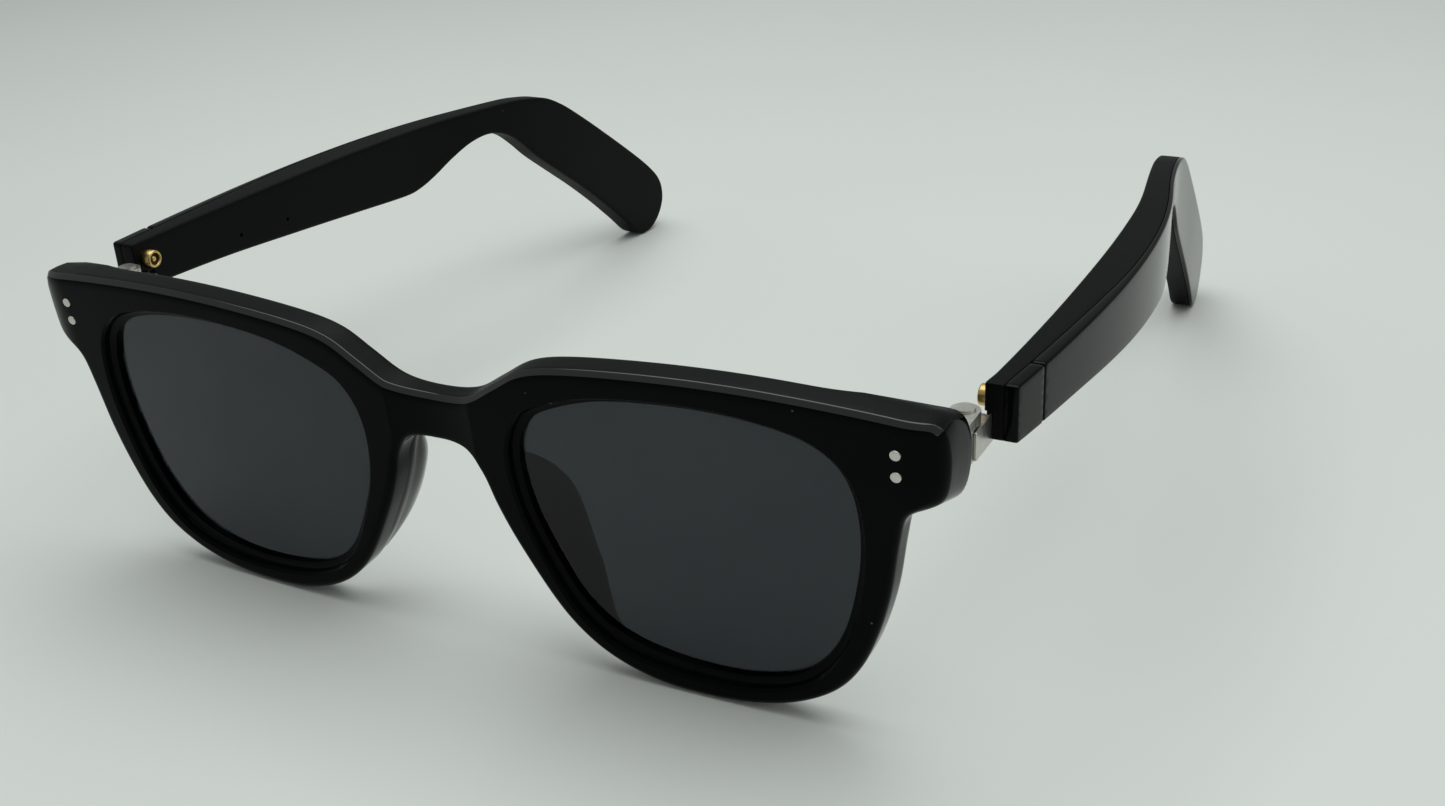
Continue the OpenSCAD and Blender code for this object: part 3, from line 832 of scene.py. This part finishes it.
def temple_outline(y0, y1, step=0.45):
    """The temple's side view between two upright cuts, counter-clockwise in (y, z)."""
    line = smooth_curve(side_over, False, step, 0.5)
    middle = len(line) // 2
    over, under = line[:middle], line[middle:]
    if y1 < TIP_Y:
        upper = line[:middle][np.argsort(line[:middle, 0])]
        lower = line[middle:][np.argsort(line[middle:, 0])]
        ys = np.arange(y0, y1 + step / 2, step)
        ys[-1] = y1
        top = np.stack([ys, np.interp(ys, upper[:, 0], upper[:, 1])], 1)
        low = np.stack([ys, np.interp(ys, lower[:, 0], lower[:, 1])], 1)[::-1]
        rough = np.vstack([top, low])
    else:
        over = over[over[:, 0] > y0 + step / 2]
        under = under[under[:, 0] > y0 + step / 2]
        first = [y0, np.interp(y0, line[:middle, 0], line[:middle, 1])]
        back = line[middle:][::-1]
        last = [y0, np.interp(y0, back[:, 0], back[:, 1])]
        rough = np.vstack([[first], over, under, [last]])
    return counter_clockwise(even(rough, True, step, 0.16))


def make_shell(side):
    outline = temple_outline(FRONT_Y, TIP_Y)
    near_front = ease((outline[:, 0] - FRONT_Y) / 4)
    joint_face = along(joint_plan)
    shape = slab(outline, lambda q: along(inner_plan)(q), lambda q: joint_face(q) - SEAM,
                 round_edge(0.62, 5), round_edge(0.14, 3), upright, 1.3, 4,
                 scale=0.45 + 0.55 * near_front)
    o = shape.build(f"temple_shell_{side}_look", [TEMPLE_SATIN], SIDES[side] < 0)

    def box(x, y, z):
        s = Shape()
        loop = np.array([[x[0], y[0]], [x[1], y[0]], [x[1], y[1]], [x[0], y[1]]], float)
        a = s.add(np.column_stack([loop, np.full(4, z[0])]))
        b = s.add(np.column_stack([loop, np.full(4, z[1])]))
        s.strip(a, b)
        s.faces += [tuple(int(k) for k in a[::-1]), tuple(int(k) for k in b)]
        s.marks += [0, 0]
        return s.build("cutter", [], SIDES[side] < 0)

    def drill(y, z, r, x0, x1):
        return turned_profile([(0, x0), (r, x0), (r, x1), (0, x1)],
                              lambda p: np.stack([p[:, 2], y + p[:, 0], z + p[:, 1]], 1), 32
                              ).build("cutter", [], SIDES[side] < 0)

    bay = counter_clockwise(even(np.array(BAY, float), True, 2.0))
    hollow = slab(bay, lambda q: along(inner_plan)(q) + 1.2, lambda q: joint_face(q) + 1, [(0, 0)], [(0, 0)],
                  upright, 4, 2).build("cutter", [], SIDES[side] < 0)
    cutters = [
        hollow,
        box((60, 71.4), (10, 19.3), (20, 41.2)),
        box((60, 71.4), (10, 21.5), (20, 39.7)),
        drill(CONTACT_Y, CONTACT_Z, 1.46, 60, 71.9),
        box((72.2, 73.8), (83.5, 90.5), (25, 34)),
    ] + [drill(y, z, 0.35, 60, 73) for y, z in MIC_AT]
    combine(o, "DIFFERENCE", cutters)
    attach(o, f"temple_{side}")
    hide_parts(f"temple_shell_{side}")


def make_cover(side):
    outline = temple_outline(CAP_Y + 2 * SEAM, TIP_Y)
    joint_face = along(joint_plan)
    shape = slab(outline, lambda q: joint_face(q), along(outer_plan), round_edge(0.14, 3), round_edge(0.42, 6),
                 upright, 1.2, 2)
    o = shape.build(f"temple_cover_{side}_look", [COVER_GLOSS], SIDES[side] < 0)
    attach(o, f"temple_{side}")
    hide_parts(f"temple_cover_{side}")


def make_cap(side):
    outline = temple_outline(FRONT_Y, CAP_Y)
    joint_face = along(joint_plan)
    shape = slab(outline, lambda q: joint_face(q), along(outer_plan), round_edge(0.14, 3), round_edge(0.3, 5),
                 upright, 0.8, 3)
    o = shape.build(f"hinge_cap_{side}_look", [COVER_GLOSS], SIDES[side] < 0)
    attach(o, f"temple_{side}")
    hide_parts(f"hinge_cap_{side}")


# ---------------------------------------------------------------- the temple's hinge leaf
def plate(x, y, z, edge, side, name, skin):
    """A rounded block between two x, y and z."""
    corner = np.array([[y[0], z[0]], [y[1], z[0]], [y[1], z[1]], [y[0], z[1]]], float)
    outline = even(corner, True, 0.2, 0.12)
    shape = slab(outline, lambda q: np.full(len(q), x[0]), lambda q: np.full(len(q), x[1]),
                 round_edge(edge, 4), round_edge(edge, 4), upright, 0.5, 2)
    return shape.build(name, [skin], SIDES[side] < 0)


KNUCKLE_LOW, KNUCKLE_HIGH = 38.35, 40.88
KNUCKLE_R, BORE_R, KNUCKLE_EDGE = 1.93, 0.87, 0.08


def make_leaf(side):
    """A side plate, a foot in the temple's notch, an arm clear of the pin, and the knuckle round the pin."""
    low, high = 36.95, 39.55
    skin = HINGE_STEEL
    o = plate((70.98, 71.36), (12.9, 21.3), (low, 40.7), 0.1, side, f"hinge_temple_leaf_{side}_look", skin)
    foot = plate((68.7, 71.2), (17.6, 20.9), (low, high), 0.12, side, "part", skin)
    arm = plate((70.0, 71.1), (PIN_Y, 18.6), (KNUCKLE_LOW, 40.65), 0.1, side, "part", skin)

    def place(p):
        return np.stack([PIN_X + p[:, 0], PIN_Y + p[:, 1], p[:, 2]], 1)

    worn = KNUCKLE_R - KNUCKLE_EDGE
    turned = ring_profile([(BORE_R, KNUCKLE_LOW), (worn, KNUCKLE_LOW),
                           (KNUCKLE_R, KNUCKLE_LOW + KNUCKLE_EDGE), (KNUCKLE_R, KNUCKLE_HIGH - KNUCKLE_EDGE),
                           (worn, KNUCKLE_HIGH), (BORE_R, KNUCKLE_HIGH)], place)
    knuckle = turned.build("part", [skin], SIDES[side] < 0)
    combine(o, "UNION", [foot, arm, knuckle])
    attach(o, f"temple_{side}")
    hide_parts(f"hinge_temple_leaf_{side}")


# ---------------------------------------------------------------- the charging contact
def make_contact(side):
    root_x, tip_x = 71.87, 68.9

    def place(p):
        return np.stack([root_x - p[:, 2], CONTACT_Y + p[:, 0], CONTACT_Z + p[:, 1]], 1)

    long = root_x - tip_x
    ring = ring_profile([(0.95, 0), (1.4, 0), (1.4, 1.0), (1.4, long - 0.22),
                         (1.34, long - 0.07), (1.22, long), (1.1, long), (1.0, long - 0.06), (0.95, long - 0.2)],
                        place)
    core = turned_profile([(0, 0), (0.47, 0), (0.47, long - 0.42), (0.4, long - 0.24), (0.24, long - 0.15),
                           (0, long - 0.13)], place, 32)
    sleeve = ring_profile([(0.5, 0), (0.92, 0), (0.92, long - 0.5), (0.86, long - 0.45), (0.55, long - 0.45),
                           (0.5, long - 0.5)], place)
    for shape, node, skin, slot in ((ring, "charge_ring", CONTACT_GOLD, "contact_gold"),
                                    (core, "charge_pin", CONTACT_GOLD, "contact_gold"),
                                    (sleeve, "charge_insulator", INSULATOR, "insulator")):
        o = shape.build(f"{node}_{side}_look", [skin], SIDES[side] < 0, sharp=40)
        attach(o, f"temple_{side}")
        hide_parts(f"{node}_{side}")


make_front()
make_rivets()
for side in SIDES:
    make_lens(side)
    make_pad(side)
    make_shell(side)
    make_cover(side)
    make_cap(side)
    make_leaf(side)
    make_contact(side)

# ---------------------------------------------------------------- CAD nodes that stay
NODE_SKINS = {
    "hinge_front_leaf": HINGE_STEEL, "hinge_pin": HINGE_STEEL,
    "main_board": BOARD, "battery": CELL_FOIL, "speaker_mesh": MESH_STEEL, "speaker": SPEAKER_CASE,
    "microphones": MIC_CAN, "touch_sensor": FLEX_FILM, "flex_cable": FLEX_FILM,
}
for kind, skin in NODE_SKINS.items():
    for side in SIDES:
        node = frame["nodes"][f"{kind}_{side}"]
        for k in range(len(node.material_slots)):
            node.material_slots[k].material = skin
        if not node.material_slots:
            node.data.materials.append(skin)
        if "hinge" in kind:
            weld = node.modifiers.new("weld", "WELD")
            weld.merge_threshold = 0.002 * MM
            edge = node.modifiers.new("edge", "BEVEL")
            edge.width = 0.12 * MM
            edge.segments = 2
            edge.limit_method = "ANGLE"
            edge.angle_limit = math.radians(35)
            edge.harden_normals = True

# ---------------------------------------------------------------- floor, light and camera
floor_mesh = bpy.data.meshes.new("floor")
half, cells, floor_z = 1.6, 8, -0.00003
floor_mesh.from_pydata(
    [(-half + 2 * half * i / cells, -half + 2 * half * j / cells, floor_z)
     for j in range(cells + 1) for i in range(cells + 1)], [],
    [(j * (cells + 1) + i, j * (cells + 1) + i + 1, (j + 1) * (cells + 1) + i + 1, (j + 1) * (cells + 1) + i)
     for j in range(cells) for i in range(cells)])
floor_mesh.materials.append(studio_floor("studio_floor"))
floor = bpy.data.objects.new("floor", floor_mesh)
bpy.context.scene.collection.objects.link(floor)


def soft_light(name, place, aim, size, watts, colour):
    data = bpy.data.lights.new(name, "AREA")
    data.shape = "RECTANGLE"
    data.size, data.size_y = size
    data.energy = watts
    data.color = colour
    o = bpy.data.objects.new(name, data)
    o.location = place
    o.rotation_mode = "QUATERNION"
    o.rotation_quaternion = (Vector(aim) - Vector(place)).to_track_quat("-Z", "Y")
    bpy.context.scene.collection.objects.link(o)


soft_light("overhead", (-0.02, 0.08, 0.72), (-0.04, 0.02, 0), (1.0, 0.9), 4.6, (0.97, 1.0, 0.98))
soft_light("from_right", (0.9, 0.15, 0.6), (0, 0, 0), (0.8, 0.8), 1.0, (0.98, 1.0, 1.0))

world = bpy.data.worlds.new("studio")
world.use_nodes = True
sky = world.node_tree.nodes["Background"]
sky.inputs["Color"].default_value = (0.95, 1.0, 0.97, 1)
sky.inputs["Strength"].default_value = 0.30
bpy.context.scene.world = world
bpy.context.scene.view_settings.view_transform = "Standard"

CAMERA_AT = Vector((0.12946, -0.23806, 0.13017))
CAMERA_BACK = Vector((0.43500, -0.79068, 0.43082))
CAMERA_RIGHT = Vector((0.88639, 0.46019, -0.05040))
camera_data = bpy.data.cameras.new("camera")
camera_data.sensor_width = 36.0
camera_data.lens = 41.18
camera_data.clip_start, camera_data.clip_end = 0.005, 10.0
camera = bpy.data.objects.new("camera", camera_data)
back = CAMERA_BACK.normalized()
right = (CAMERA_RIGHT - CAMERA_RIGHT.dot(back) * back).normalized()
up = back.cross(right)
camera.matrix_world = Matrix((
    (right.x, up.x, back.x, CAMERA_AT.x),
    (right.y, up.y, back.y, CAMERA_AT.y),
    (right.z, up.z, back.z, CAMERA_AT.z),
    (0, 0, 0, 1),
))
bpy.context.scene.collection.objects.link(camera)
bpy.context.scene.camera = camera
